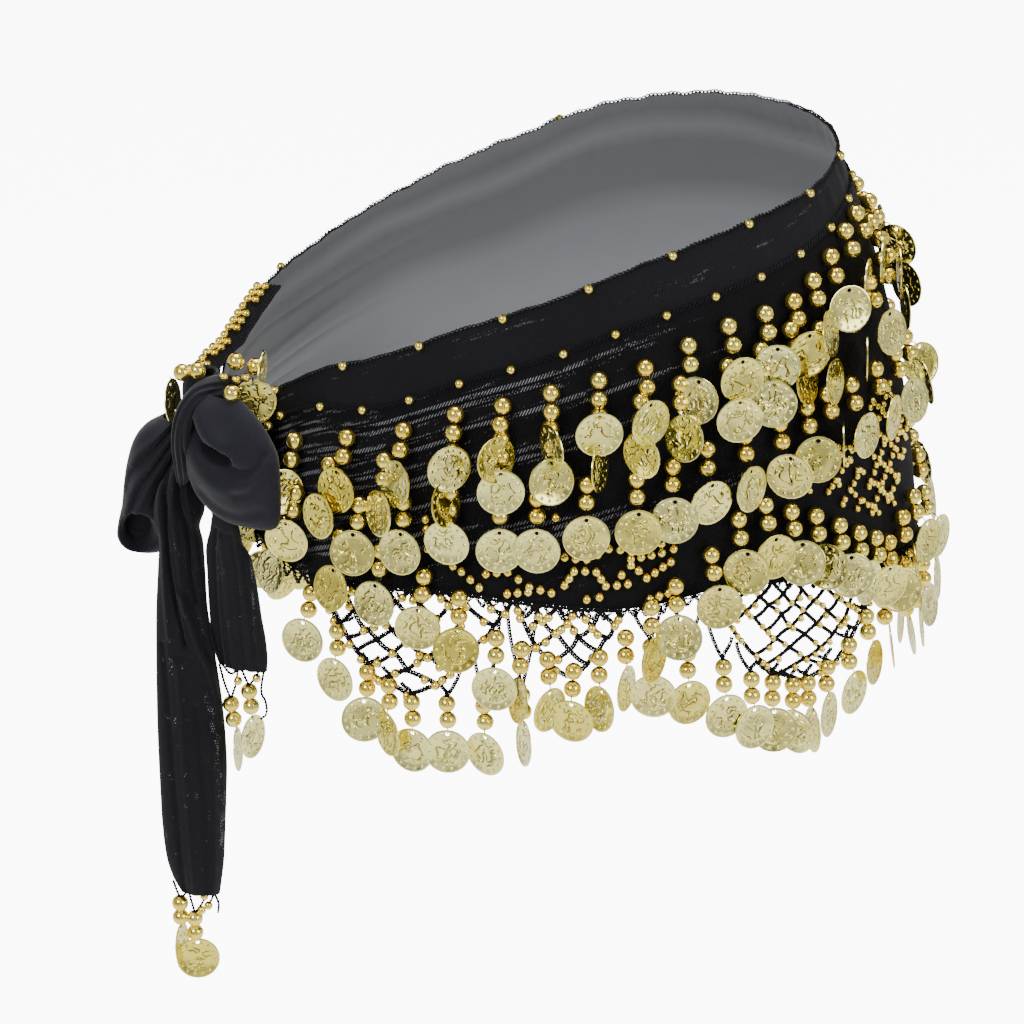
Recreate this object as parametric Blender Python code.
"""Belly dance hip scarf, worn round the hips and tied at one side. Metres, +Z up, the wearer faces -Y.

The origin is on the wearer's own axis, at the height of the rim at the front.
A place on the scarf is an angle round the hips, 0 at the front and growing towards +X, and a height.
"""

import math

import bmesh
import bpy
from mathutils import Vector

# Driving sizes
CLOTH = 0.002
SEAM = 0.0003
COLUMNS_ROUND = 48
PANEL_ROWS = 7
COIN = 0.023
BEAD = 0.0085
MEAN_RADIUS = 0.155
MEAN_HEM = -0.15
HEM_STEPS = 12
WALK_STEP = 0.25
SMOOTH_WALL = 40.0
SMOOTH_BUNDLE = 50.0
KNOT_SIDE_FRONT = -70.0
KNOT_SIDE_BACK = 272.0

# The general figure that the scarf is cut for: height, half width and half depth of the hips
FIGURE = (
    (-0.340, 0.1700, 0.1240),
    (-0.240, 0.1775, 0.1300),
    (-0.180, 0.1785, 0.1300),
    (-0.120, 0.1735, 0.1250),
    (-0.060, 0.1640, 0.1170),
    (0.000, 0.1480, 0.1070),
    (0.040, 0.1325, 0.0980),
    (0.080, 0.1220, 0.0920),
)

# Heights round the scarf: angle, rim, depth of the waist band, third row of coins, hem, and how far
# the cloth stands off the hips
ROUND = (
    (-70.0, -0.0760, 0.0130, -0.1180, -0.1300, 0.0085),
    (-60.0, -0.0635, 0.0150, -0.1170, -0.1440, 0.0020),
    (-50.0, -0.0485, 0.0180, -0.1145, -0.1530, 0.0000),
    (-36.0, -0.0345, 0.0255, -0.1065, -0.1500, 0.0000),
    (-20.0, -0.0155, 0.0260, -0.0920, -0.1460, 0.0000),
    (-4.0, 0.0000, 0.0265, -0.0880, -0.1495, 0.0000),
    (10.0, 0.0135, 0.0265, -0.0800, -0.1520, 0.0000),
    (24.0, 0.0230, 0.0260, -0.0670, -0.1460, 0.0000),
    (40.0, 0.0310, 0.0250, -0.0560, -0.1480, 0.0000),
    (56.0, 0.0355, 0.0210, -0.0520, -0.1550, 0.0000),
    (76.0, 0.0415, 0.0170, -0.0500, -0.1600, 0.0000),
    (104.0, 0.0465, 0.0170, -0.0500, -0.1600, 0.0000),
    (132.0, 0.0460, 0.0200, -0.0530, -0.1560, 0.0000),
    (152.0, 0.0415, 0.0250, -0.0620, -0.1480, 0.0000),
    (174.0, 0.0300, 0.0260, -0.0740, -0.1470, 0.0000),
    (190.0, 0.0138, 0.0265, -0.0850, -0.1500, 0.0000),
    (206.0, -0.0020, 0.0265, -0.0900, -0.1500, 0.0000),
    (222.0, -0.0185, 0.0260, -0.0940, -0.1480, 0.0000),
    (240.0, -0.0335, 0.0240, -0.1020, -0.1510, 0.0000),
    (254.0, -0.0400, 0.0200, -0.1080, -0.1500, 0.0000),
    (263.0, -0.0490, 0.0160, -0.1120, -0.1420, 0.0030),
    (272.0, -0.0620, 0.0130, -0.1120, -0.1260, 0.0100),
)

# The zigzag line of coins: angle and height
ZIGZAG = (
    (-56.0, -0.1370),
    (-40.0, -0.1285),
    (-31.0, -0.1285),
    (-17.0, -0.1440),
    (-2.0, -0.1790),
    (12.0, -0.1470),
    (22.0, -0.1210),
    (32.0, -0.1020),
    (44.0, -0.1150),
    (60.0, -0.1400),
    (75.0, -0.1720),
    (90.0, -0.1350),
    (104.0, -0.1080),
    (118.0, -0.1350),
    (133.0, -0.1720),
    (148.0, -0.1400),
    (172.0, -0.1080),
    (190.0, -0.1400),
    (206.0, -0.1780),
    (220.0, -0.1400),
    (236.0, -0.1300),
    (256.0, -0.1340),
)

# The largest folds of the panel, run along it: first and last angle, place down the panel at each
# (0 at the seam, 1 at the hem), how far it stands out, and its width down the panel
LONG_FOLDS = (
    (-72.0, 18.0, 0.30, 0.14, 0.0018, 0.11),
    (-72.0, -2.0, 0.62, 0.36, 0.0022, 0.10),
    (-72.0, 30.0, 0.88, 0.66, -0.0016, 0.12),
    (214.0, 274.0, 0.16, 0.34, 0.0018, 0.11),
    (196.0, 274.0, 0.40, 0.66, 0.0020, 0.11),
    (180.0, 274.0, 0.72, 0.90, -0.0016, 0.12),
)

# Soft folds that hang down the panel: angle, how far each stands out, and its width in degrees
HANGING_FOLDS = (
    (47.0, 0.0016, 6.0),
    (64.0, -0.0014, 5.0),
    (83.0, 0.0018, 6.0),
    (118.0, 0.0016, 7.0),
    (139.0, -0.0014, 6.0),
    (161.0, 0.0015, 7.0),
)

# Net points below the hem: name, angle of the middle, half width, drop, gaps across the top,
# and whether coins hang on it
NET_POINTS = (
    ("net_point_1", -27.0, 0.051, 0.056, 7, True),
    ("net_wedge_1", -1.0, 0.026, 0.036, 3, False),
    ("net_point_2", 40.0, 0.054, 0.056, 7, True),
    ("net_wedge_2", 75.0, 0.018, 0.027, 3, False),
    ("net_point_3", 104.0, 0.045, 0.050, 7, True),
    ("net_wedge_3", 133.0, 0.018, 0.027, 3, False),
    ("net_point_4", 172.0, 0.054, 0.056, 7, True),
    ("net_wedge_4", 206.0, 0.024, 0.033, 3, False),
    ("net_point_5", 233.0, 0.046, 0.053, 7, True),
)
NET_ROUNDING = 0.6
NET_CHAIN = 0.0024
CHAIN_SHARE = 0.72
NET_GAP = 0.0007
NET_THICKNESS = 0.002

# One coin string from its root down: depth, distance off the cloth, half width, half thickness,
# and whether the ring turns with the coin
STRING = (
    (BEAD * 0.54, 0.0052, BEAD * 0.44, BEAD * 0.44, False),
    (BEAD * 1.03, 0.0058, 0.0012, 0.0012, False),
    (BEAD * 1.53, 0.0066, BEAD * 0.44, BEAD * 0.44, False),
    (0.0180, 0.0093, COIN * 0.25, 0.0006, True),
    (0.0293, 0.0115, COIN * 0.5, 0.0006, True),
    (0.0406, 0.0153, COIN * 0.27, 0.0006, True),
)
STRIP_GAP = 0.0009
STRIP_THICKNESS = 0.0016
STRIP_HEIGHT = 0.003
ROOT_HALF_WIDTH = 0.001
FIRST_ROW_DROP = 0.0125
SECOND_ROW_DROP = 0.0185
ROW_START = -52.0
ROW_END = 258.0
ROW_PITCH = 0.0255
ZIGZAG_PITCH = 0.0165
FRINGE_PITCH = 0.0132
FRINGE_SPREAD = 0.66
FRINGE_LEAN = 0.75
SHINGLE_TURN = math.radians(20.0)
KNOT_COIN_TURN = math.radians(-62.0)
FRINGE_TURN = math.radians(34.0)

# The knot: each bundle of cloth, whether its sections lie level, and its sections, each with
# x, y, z, half width, half depth and heading
KNOT_BUNDLES = (
    (
        "knot_wrap",
        True,
        (
            (-0.1855, -0.0450, -0.0600, 0.0070, 0.0080, -20.0),
            (-0.1860, -0.0470, -0.0650, 0.0140, 0.0130, -20.0),
            (-0.1875, -0.0500, -0.0770, 0.0155, 0.0165, -20.0),
            (-0.1890, -0.0510, -0.0930, 0.0150, 0.0165, -20.0),
            (-0.1915, -0.0500, -0.1060, 0.0100, 0.0120, -15.0),
        ),
    ),
    (
        "knot_fold_front",
        True,
        (
            (-0.1695, -0.0730, -0.0590, 0.0090, 0.0060, -38.0),
            (-0.1675, -0.0750, -0.0660, 0.0165, 0.0100, -38.0),
            (-0.1650, -0.0775, -0.0820, 0.0225, 0.0130, -38.0),
            (-0.1643, -0.0782, -0.1020, 0.0230, 0.0130, -38.0),
            (-0.1650, -0.0785, -0.1180, 0.0195, 0.0110, -38.0),
            (-0.1700, -0.0750, -0.1330, 0.0110, 0.0055, -38.0),
        ),
    ),
    (
        "knot_fold_side",
        True,
        (
            (-0.2053, -0.0345, -0.0930, 0.0062, 0.0062, 10.0),
            (-0.2083, -0.0345, -0.1010, 0.0112, 0.0105, 10.0),
            (-0.2125, -0.0345, -0.1170, 0.0165, 0.0135, 10.0),
            (-0.2135, -0.0350, -0.1340, 0.0165, 0.0135, 10.0),
            (-0.2130, -0.0355, -0.1500, 0.0120, 0.0100, 10.0),
            (-0.2110, -0.0365, -0.1600, 0.0050, 0.0050, 10.0),
        ),
    ),
    (
        "tie_front",
        False,
        (
            (-0.1685, -0.0446, -0.1030, 0.0012, 0.0265, 25.0),
            (-0.1705, -0.0385, -0.1030, 0.0022, 0.0240, 28.0),
            (-0.1725, -0.0340, -0.1000, 0.0038, 0.0195, 40.0),
            (-0.1772, -0.0344, -0.0940, 0.0048, 0.0150, 52.0),
        ),
    ),
    (
        "tie_back",
        False,
        (
            (-0.1790, -0.0055, -0.0940, 0.0012, 0.0315, 3.0),
            (-0.1820, -0.0120, -0.0935, 0.0025, 0.0270, 5.0),
            (-0.1850, -0.0200, -0.0900, 0.0050, 0.0210, 8.0),
            (-0.1880, -0.0325, -0.0850, 0.0070, 0.0150, -12.0),
        ),
    ),
)
BUNDLE_SIDES = 14
BUNDLE_GROOVE = 0.10

# The hanging ends: x, y, z, width, depth of the pleats and heading of each section
TAIL_LONG = (
    (-0.1945, -0.0510, -0.1066, 0.0150, 0.0070, -10.0),
    (-0.1965, -0.0532, -0.1240, 0.0190, 0.0080, -10.0),
    (-0.1977, -0.0545, -0.1500, 0.0240, 0.0080, -10.0),
    (-0.1973, -0.0535, -0.1950, 0.0292, 0.0075, -8.0),
    (-0.1963, -0.0515, -0.2450, 0.0345, 0.0075, -5.0),
    (-0.1970, -0.0500, -0.2950, 0.0358, 0.0080, 0.0),
    (-0.1974, -0.0490, -0.3340, 0.0335, 0.0080, 5.0),
    (-0.1956, -0.0485, -0.3614, 0.0240, 0.0070, 5.0),
)
TAIL_SHORT = (
    (-0.1725, -0.0720, -0.1337, 0.0130, 0.0060, -45.0),
    (-0.1725, -0.0680, -0.1450, 0.0190, 0.0070, -40.0),
    (-0.1710, -0.0620, -0.1650, 0.0240, 0.0075, -30.0),
    (-0.1690, -0.0560, -0.1950, 0.0270, 0.0075, -20.0),
    (-0.1660, -0.0520, -0.2180, 0.0250, 0.0070, -15.0),
)
TAIL_POINTS = 9
TAIL_PLEATS = 1.5
TAIL_PHASE = 0.6
TAIL_WALL = 0.0026

# Coin strings at the hanging ends: x, y, z of the root, heading of the strip, and turn of the coin
TAIL_LONG_COINS = (
    (-0.2060, -0.0495, -0.3649, 5.0, 82.0),
    (-0.1925, -0.0485, -0.3649, 5.0, 0.0),
)
TAIL_SHORT_COINS = (
    (-0.1710, -0.0507, -0.2215, -15.0, 105.0),
    (-0.1610, -0.0533, -0.2215, -15.0, 75.0),
)


def clear_scene():
    for obj in list(bpy.data.objects):
        bpy.data.objects.remove(obj, do_unlink=True)


def make_material(name, color, roughness, metallic):
    material = bpy.data.materials.new(name)
    material.use_nodes = True
    shader = material.node_tree.nodes["Principled BSDF"]
    shader.inputs["Base Color"].default_value = (*color, 1.0)
    shader.inputs["Roughness"].default_value = roughness
    shader.inputs["Metallic"].default_value = metallic
    return material


def add_solid(name, points, faces, material, smooth_angle=None):
    mesh = bpy.data.meshes.new(name)
    mesh.from_pydata([tuple(point) for point in points], [], faces)
    mesh.materials.append(material)
    if smooth_angle:
        mesh.shade_smooth()
        mesh.set_sharp_from_angle(angle=math.radians(smooth_angle))
    solid = bpy.data.objects.new(name, mesh)
    bpy.context.scene.collection.objects.link(solid)
    return solid


def read_curve(rows, place, column):
    """The column's value at this place, on a smooth curve through the table's rows."""
    last = len(rows) - 1
    place = min(max(place, rows[0][0]), rows[last][0])
    index = 0
    while index < last - 1 and place > rows[index + 1][0]:
        index += 1

    def slope(at):
        low = max(at - 1, 0)
        high = min(at + 1, last)
        return (rows[high][column] - rows[low][column]) / (rows[high][0] - rows[low][0])

    start = rows[index]
    end = rows[index + 1]
    width = end[0] - start[0]
    t = (place - start[0]) / width
    return (
        start[column] * (2 * t**3 - 3 * t**2 + 1)
        + end[column] * (3 * t**2 - 2 * t**3)
        + slope(index) * width * (t**3 - 2 * t**2 + t)
        + slope(index + 1) * width * (t**3 - t**2)
    )


def outward(angle, height):
    """The level direction that points away from the hips."""
    turn = math.radians(angle)
    half_width = read_curve(FIGURE, height, 1)
    half_depth = read_curve(FIGURE, height, 2)
    return Vector((math.sin(turn) / half_width, -math.cos(turn) / half_depth, 0.0)).normalized()


def hip_point(angle, height, off=0.0):
    turn = math.radians(angle)
    half_width = read_curve(FIGURE, height, 1)
    half_depth = read_curve(FIGURE, height, 2)
    on_hips = Vector((half_width * math.sin(turn), -half_depth * math.cos(turn), height))
    return on_hips + outward(angle, height) * off


def rim_height(angle):
    return read_curve(ROUND, angle, 1)


def seam_height(angle):
    return rim_height(angle) - read_curve(ROUND, angle, 2)


def third_row_height(angle):
    return read_curve(ROUND, angle, 3)


def hem_height(angle):
    return read_curve(ROUND, angle, 4)


def fold_height(angle, down):
    """How far the folds stand off the hips, at a place from 0 at the seam to 1 at the hem."""
    rise = 0.0
    for first, last, down_first, down_last, most, width in LONG_FOLDS:
        along = (angle - first) / (last - first)
        if 0.0 < along < 1.0:
            middle = down_first + (down_last - down_first) * along
            rise += most * math.sin(math.pi * along) * math.exp(-(((down - middle) / width) ** 2))
    for middle, most, width in HANGING_FOLDS:
        rise += most * down * math.exp(-(((angle - middle) / width) ** 2))
    return rise


def panel_place(angle, down):
    """A point on the panel's outer face, from the same rule for every piece that lies on it."""
    height = seam_height(angle) - SEAM + (hem_height(angle) - seam_height(angle) + SEAM) * down
    return height, read_curve(ROUND, angle, 5) + fold_height(angle, down)


def angles_round(first, last, height_rule, pitch):
    """Angles a pitch apart along the cloth, spread evenly from first to last."""
    count = int((last - first) / WALK_STEP)
    walked = [0.0]
    place = hip_point(first, height_rule(first))
    for index in range(1, count + 1):
        angle = first + index * WALK_STEP
        following = hip_point(angle, height_rule(angle))
        flat = Vector((following.x - place.x, following.y - place.y))
        walked.append(walked[-1] + flat.length)
        place = following
    pieces = max(1, int(walked[-1] / pitch))
    angles = []
    index = 0
    for piece in range(pieces + 1):
        target = walked[-1] * piece / pieces
        while index < count and walked[index] < target:
            index += 1
        angles.append(first + index * WALK_STEP)
    return angles


def column_angles():
    turn = math.radians(KNOT_SIDE_BACK - KNOT_SIDE_FRONT)
    return angles_round(KNOT_SIDE_FRONT, KNOT_SIDE_BACK, hem_height, turn * MEAN_RADIUS / COLUMNS_ROUND)


PANEL_ANGLES = column_angles()


def panel_grid():
    """The panel's outer points, a column for each angle and a row for each level."""
    grid = []
    for angle in PANEL_ANGLES:
        column = []
        for row in range(PANEL_ROWS + 1):
            height, off = panel_place(angle, row / PANEL_ROWS)
            column.append(hip_point(angle, height, off))
        grid.append(column)
    return grid


PANEL_GRID = panel_grid()


def column_share(angle):
    index = 0
    while index < len(PANEL_ANGLES) - 2 and angle > PANEL_ANGLES[index + 1]:
        index += 1
    share = (angle - PANEL_ANGLES[index]) / (PANEL_ANGLES[index + 1] - PANEL_ANGLES[index])
    return index, share


def built_hem_height(angle):
    index, share = column_share(angle)
    left = PANEL_GRID[index][PANEL_ROWS].z
    right = PANEL_GRID[index + 1][PANEL_ROWS].z
    return left + (right - left) * share


def cloth_point(angle, height, off):
    """A point off the outer face: over the panel's own points, and over the hips below the hem."""
    index, share = column_share(angle)
    top = PANEL_GRID[index][0].lerp(PANEL_GRID[index + 1][0], share).z
    bottom = built_hem_height(angle)
    down = (top - height) / (top - bottom)
    if down >= 1.0:
        return hip_point(angle, height, off + panel_place(angle, 1.0)[1])
    row = min(max(int(down * PANEL_ROWS), 0), PANEL_ROWS - 1)
    along = max(down * PANEL_ROWS - row, 0.0)
    upper = PANEL_GRID[index][row].lerp(PANEL_GRID[index + 1][row], share)
    lower = PANEL_GRID[index][row + 1].lerp(PANEL_GRID[index + 1][row + 1], share)
    point = upper.lerp(lower, along)
    point.z = height
    return point + outward(angle, height) * off


def wall_from_grid(name, outer, material):
    """A wall of the cloth's thickness whose outer face runs through this grid of points."""
    columns = len(outer)
    rows = len(outer[0])
    points = []
    for column in outer:
        points.extend(column)
    for column, angle in zip(outer, PANEL_ANGLES):
        for point in column:
            points.append(point - outward(angle, point.z) * CLOTH)
    inner = columns * rows

    def at(column, row):
        return column * rows + row

    faces = []
    for column in range(columns - 1):
        for row in range(rows - 1):
            a = at(column, row)
            b = at(column, row + 1)
            c = at(column + 1, row + 1)
            d = at(column + 1, row)
            faces.append((a, b, c, d))
            faces.append((inner + d, inner + c, inner + b, inner + a))
        top = at(column, 0)
        next_top = at(column + 1, 0)
        faces.append((top, next_top, inner + next_top, inner + top))
        bottom = at(column, rows - 1)
        next_bottom = at(column + 1, rows - 1)
        faces.append((next_bottom, bottom, inner + bottom, inner + next_bottom))
    for row in range(rows - 1):
        first = at(0, row)
        faces.append((first, inner + first, inner + first + 1, first + 1))
        last = at(columns - 1, row)
        faces.append((last, last + 1, inner + last + 1, inner + last))
    return add_solid(name, points, faces, material, smooth_angle=SMOOTH_WALL)


def make_waist_band(material):
    outer = []
    for angle in PANEL_ANGLES:
        off = panel_place(angle, 0.0)[1]
        seam = seam_height(angle)
        outer.append([hip_point(angle, rim_height(angle), off), hip_point(angle, seam, off)])
    wall_from_grid("waist_band", outer, material)


def make_hip_panel(material):
    wall_from_grid("hip_panel", PANEL_GRID, material)


def angle_at(middle, distance):
    """The angle a distance along the hem from the middle angle."""
    half_width = read_curve(FIGURE, MEAN_HEM, 1)
    half_depth = read_curve(FIGURE, MEAN_HEM, 2)
    angle = middle
    for _ in range(HEM_STEPS):
        turn = math.radians(angle)
        per_radian = math.hypot(half_width * math.cos(turn), half_depth * math.sin(turn))
        angle += math.degrees(distance / HEM_STEPS / per_radian)
    return angle


def net_place(point_row, level, across):
    """Angle and height of a knot of the net: level 0 is the hem, and across runs from -1 to 1."""
    middle, half_width, drop, gaps = point_row[1:5]
    down = level / gaps
    span = half_width * (1.0 - down) ** NET_ROUNDING
    angle = angle_at(middle, span * across)
    return angle, built_hem_height(angle) - NET_GAP - drop * down


def make_net(point_row, material):
    """A point of open net. Its chains are ridges front and back, thin at the edges of each gap."""
    name = point_row[0]
    gaps = point_row[4]
    points = []
    faces = []
    knots = {}
    for level in range(gaps + 1):
        width = gaps - level
        for index in range(width + 1):
            across = 2.0 * index / width - 1.0 if width else 0.0
            angle, height = net_place(point_row, level, across)
            off = panel_place(angle, 1.0)[1]
            knots[level, index] = len(points)
            points.append(hip_point(angle, height, off))
            points.append(hip_point(angle, height, off - NET_THICKNESS))

    def add_gap(corners):
        """Corners run anticlockwise, seen from outside."""
        ring = [knots[corner] for corner in corners]
        middle = sum((points[front] for front in ring), Vector()) / len(ring)
        middle_back = sum((points[front + 1] for front in ring), Vector()) / len(ring)
        center = (middle + middle_back) / 2.0
        reach = min((points[front] - middle).length for front in ring)
        keep = 1.0 - NET_CHAIN * CHAIN_SHARE / reach
        rim = []
        for front in ring:
            corner = (points[front] + points[front + 1]) / 2.0
            rim.append(len(points))
            points.append(center + (corner - center) * keep)
        for place, front in enumerate(ring):
            following = ring[(place + 1) % len(ring)]
            edge = rim[place]
            next_edge = rim[(place + 1) % len(ring)]
            faces.append((front, following, next_edge, edge))
            faces.append((following + 1, front + 1, edge, next_edge))

    for index in range(gaps):
        add_gap([(0, index), (1, index), (0, index + 1)])
    for level in range(gaps - 1):
        for index in range(1, gaps - level):
            add_gap([(level, index), (level + 1, index - 1), (level + 2, index - 1), (level + 1, index)])
    for index in range(gaps):
        left = knots[0, index]
        right = knots[0, index + 1]
        faces.append((left, right, right + 1, left + 1))
    for level in range(gaps):
        upper = knots[level, 0]
        lower = knots[level + 1, 0]
        faces.append((lower, upper, upper + 1, lower + 1))
        upper = knots[level, gaps - level]
        lower = knots[level + 1, gaps - level - 1]
        faces.append((upper, lower, lower + 1, upper + 1))
    add_solid(name, points, faces, material)


def string_on_hips(angle, height, lean):
    """The rule for a string that lies on the cloth: a depth and a distance off give a place."""

    def place(depth, off):
        away = STRIP_GAP + (off - STRIP_GAP) * lean
        return cloth_point(angle, height - depth, away), outward(angle, height - depth)

    return place


def string_in_air(x, y, z, heading):
    """The rule for a string that hangs straight down from a point."""
    turn = math.radians(heading)
    normal = Vector((math.sin(turn), -math.cos(turn), 0.0))

    def place(depth, off):
        lag = STRIP_GAP + STRIP_THICKNESS / 2
        return Vector((x, y, z - depth)) + normal * (min(off, 2 * lag) - lag), normal

    return place


def across_from(normal):
    return Vector((-normal.y, normal.x, 0.0))


def make_coin_row(name, stations, material):
    """Coin strings on a narrow strip. A station is a rule and the turn of its coin, or no turn
    where the strip only passes by."""
    points = []
    faces = []
    rings = []
    bottoms = []
    for place, turn in stations:
        shifts = (0.0,) if turn is None else (-ROOT_HALF_WIDTH, ROOT_HALF_WIDTH)
        bottoms.append(len(rings))
        for shift in shifts:
            inner, normal = place(0.0, STRIP_GAP)
            outer = place(0.0, STRIP_GAP + STRIP_THICKNESS)[0]
            top = place(-STRIP_HEIGHT, STRIP_GAP + STRIP_THICKNESS / 2)[0]
            rings.append(len(points))
            for point in (inner, outer, top):
                points.append(point + across_from(normal) * shift)
    roots = {bottoms[index] for index, station in enumerate(stations) if station[1] is not None}
    for index in range(len(rings) - 1):
        a = rings[index]
        b = rings[index + 1]
        faces.append((a + 1, b + 1, b + 2, a + 2))
        faces.append((b, a, a + 2, b + 2))
        if index not in roots:
            faces.append((a, b, b + 1, a + 1))
    first = rings[0]
    last = rings[-1]
    faces.append((first, first + 1, first + 2))
    faces.append((last + 1, last, last + 2))
    for index, (place, turn) in enumerate(stations):
        if turn is None:
            continue
        left = rings[bottoms[index]]
        right = rings[bottoms[index] + 1]
        ring = (left + 1, right + 1, right, left)
        for depth, off, half_width, half_thickness, turns in STRING:
            middle, normal = place(depth, off)
            swing = turn if turns else 0.0
            side = across_from(normal) * math.cos(swing) - normal * math.sin(swing)
            ahead = normal * math.cos(swing) + across_from(normal) * math.sin(swing)
            start = len(points)
            points.append(middle - side * half_width + ahead * half_thickness)
            points.append(middle + side * half_width + ahead * half_thickness)
            points.append(middle + side * half_width - ahead * half_thickness)
            points.append(middle - side * half_width - ahead * half_thickness)
            for corner in range(4):
                following = (corner + 1) % 4
                faces.append((ring[corner], start + corner, start + following, ring[following]))
            ring = (start, start + 1, start + 2, start + 3)
        faces.append((ring[3], ring[2], ring[1], ring[0]))
    return add_solid(name, points, faces, material)


def middle_angles(angles):
    return [(one + following) / 2.0 for one, following in zip(angles, angles[1:])]


def make_panel_rows(material):
    """The three upper rows. The middle row's strings hang between those of the other two, and the
    lower row starts a string later, where the knot's front fold ends."""

    def first_row(angle):
        return seam_height(angle) - FIRST_ROW_DROP

    def second_row(angle):
        return first_row(angle) - SECOND_ROW_DROP

    odd = angles_round(ROW_START, ROW_END, first_row, ROW_PITCH)
    even = middle_angles(odd)
    rows = (
        ("coin_row_1", odd, even, first_row, KNOT_COIN_TURN),
        ("coin_row_2", even, odd[1:-1], second_row, 0.0),
        ("coin_row_3", odd[1:], even[1:], third_row_height, 0.0),
    )
    for name, angles, between, height_rule, first_turn in rows:
        stations = []
        for index, angle in enumerate(angles):
            turn = first_turn if index == 0 else 0.0
            stations.append((string_on_hips(angle, height_rule(angle), 1.0), turn))
            if index < len(between):
                passing = between[index]
                stations.append((string_on_hips(passing, height_rule(passing), 1.0), None))
        make_coin_row(name, stations, material)


def zigzag_height(angle):
    return read_curve(ZIGZAG, angle, 1)


def make_zigzag_row(material):
    stations = []
    for angle in angles_round(ZIGZAG[0][0], ZIGZAG[-1][0], zigzag_height, ZIGZAG_PITCH):
        stations.append((string_on_hips(angle, zigzag_height(angle), 1.0), SHINGLE_TURN))
    make_coin_row("coin_row_zigzag", stations, material)


def make_fringe(point_row, number, material):
    """Coin strings along the lower edge of one net point, a string for each pitch across it."""
    middle, half_width, drop = point_row[1:4]
    pieces = int(2.0 * half_width * FRINGE_SPREAD / FRINGE_PITCH)
    stations = []
    for index in range(pieces + 1):
        across = (2.0 * index / pieces - 1.0) * FRINGE_SPREAD
        down = 1.0 - abs(across) ** (1.0 / NET_ROUNDING)
        angle = angle_at(middle, half_width * across)
        height = built_hem_height(angle) - NET_GAP - drop * down
        stations.append((string_on_hips(angle, height, FRINGE_LEAN), FRINGE_TURN))
    make_coin_row("coin_fringe_" + str(number), stations, material)


def make_tail_coins(name, rows, material):
    stations = []
    for x, y, z, heading, turn in rows:
        stations.append((string_in_air(x, y, z, heading), math.radians(turn)))
    make_coin_row(name, stations, material)


def bundle_axes(heading, upright):
    """The two directions of a section: across it, and its other one."""
    turn = math.radians(heading)
    across = Vector((math.cos(turn), math.sin(turn), 0.0))
    if upright:
        return across, Vector((-math.sin(turn), math.cos(turn), 0.0))
    return across, Vector((0.0, 0.0, 1.0))


def make_bundle(name, rows, material, upright=True):
    """Cloth drawn together: a closed solid through rounded sections, with grooves along it."""
    points = []
    faces = []
    for x, y, z, half_width, half_depth, heading in rows:
        across, deep = bundle_axes(heading, upright)
        for side in range(BUNDLE_SIDES):
            turn = 2.0 * math.pi * side / BUNDLE_SIDES
            groove = 1.0 - BUNDLE_GROOVE * (side % 2)
            point = Vector((x, y, z))
            point += across * half_width * math.cos(turn) * groove
            point += deep * half_depth * math.sin(turn) * groove
            points.append(point)
    for row in range(len(rows) - 1):
        for side in range(BUNDLE_SIDES):
            following = (side + 1) % BUNDLE_SIDES
            a = row * BUNDLE_SIDES + side
            b = row * BUNDLE_SIDES + following
            faces.append((a, b, b + BUNDLE_SIDES, a + BUNDLE_SIDES))
    last = (len(rows) - 1) * BUNDLE_SIDES
    faces.append(tuple(reversed(range(BUNDLE_SIDES))))
    faces.append(tuple(last + side for side in range(BUNDLE_SIDES)))
    return face_outward(add_solid(name, points, faces, material, smooth_angle=SMOOTH_BUNDLE))


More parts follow.
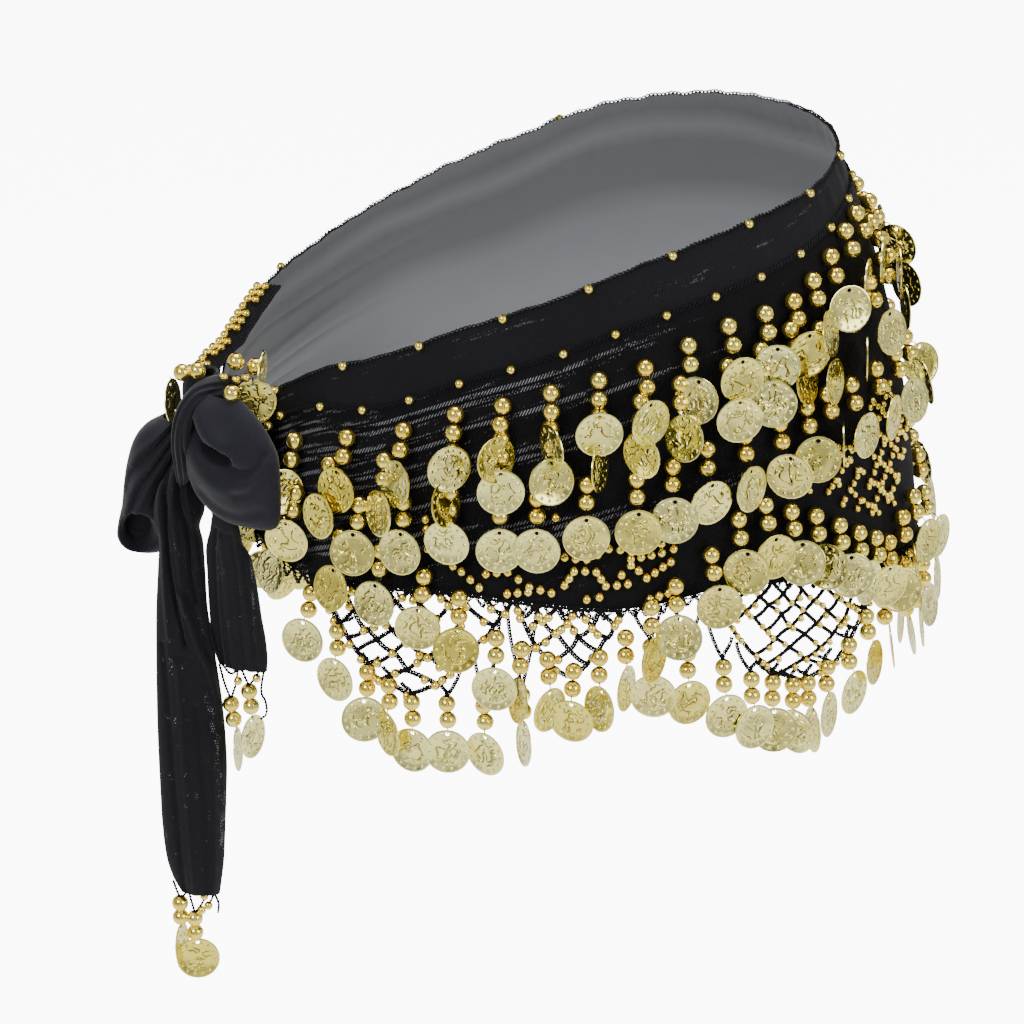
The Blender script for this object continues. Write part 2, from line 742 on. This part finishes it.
def make_tail(name, rows, material):
    """A hanging end: a pleated wall of cloth through level sections, widest across its heading."""
    points = []
    faces = []
    ring = 2 * (TAIL_POINTS + 1)
    for x, y, z, width, depth, heading in rows:
        across, deep = bundle_axes(heading, True)
        for sign in (1.0, -1.0):
            for index in range(TAIL_POINTS + 1):
                share = index / TAIL_POINTS if sign > 0.0 else 1.0 - index / TAIL_POINTS
                wave = math.sin(2.0 * math.pi * TAIL_PLEATS * share + TAIL_PHASE)
                point = Vector((x, y, z)) + across * width * (share - 0.5)
                point += deep * (depth / 2.0 * wave + sign * TAIL_WALL / 2.0)
                points.append(point)
    for row in range(len(rows) - 1):
        for index in range(ring):
            a = row * ring + index
            b = row * ring + (index + 1) % ring
            faces.append((a, b, b + ring, a + ring))
    for row in (0, len(rows) - 1):
        for index in range(TAIL_POINTS):
            near = row * ring + index
            far = row * ring + ring - 1 - index
            cap = (near, near + 1, far - 1, far)
            faces.append(tuple(reversed(cap)) if row == 0 else cap)
    return face_outward(add_solid(name, points, faces, material, smooth_angle=SMOOTH_BUNDLE))


def face_outward(solid):
    """Turns the faces of a closed solid to point out."""
    shape = bmesh.new()
    shape.from_mesh(solid.data)
    bmesh.ops.recalc_face_normals(shape, faces=shape.faces)
    shape.to_mesh(solid.data)
    shape.free()
    return solid


def main():
    clear_scene()
    satin = make_material("Black satin cloth", (0.012, 0.012, 0.015), 0.55, 0.0)
    mesh_cloth = make_material("Black open-knit cloth", (0.008, 0.008, 0.010), 0.75, 0.0)
    yarn = make_material("Black crochet yarn", (0.006, 0.006, 0.007), 0.85, 0.0)
    gold = make_material("Gold-coloured metal", (0.90, 0.74, 0.32), 0.25, 1.0)
    make_waist_band(satin)
    make_hip_panel(mesh_cloth)
    fringe_number = 0
    for point_row in NET_POINTS:
        make_net(point_row, yarn)
        if point_row[5]:
            fringe_number += 1
            make_fringe(point_row, fringe_number, gold)
    make_panel_rows(gold)
    make_zigzag_row(gold)
    for name, upright, rows in KNOT_BUNDLES:
        make_bundle(name, rows, satin, upright)
    make_tail("tail_long", TAIL_LONG, satin)
    make_tail("tail_short", TAIL_SHORT, satin)
    make_tail_coins("tail_long_coins", TAIL_LONG_COINS, gold)
    make_tail_coins("tail_short_coins", TAIL_SHORT_COINS, gold)


main()
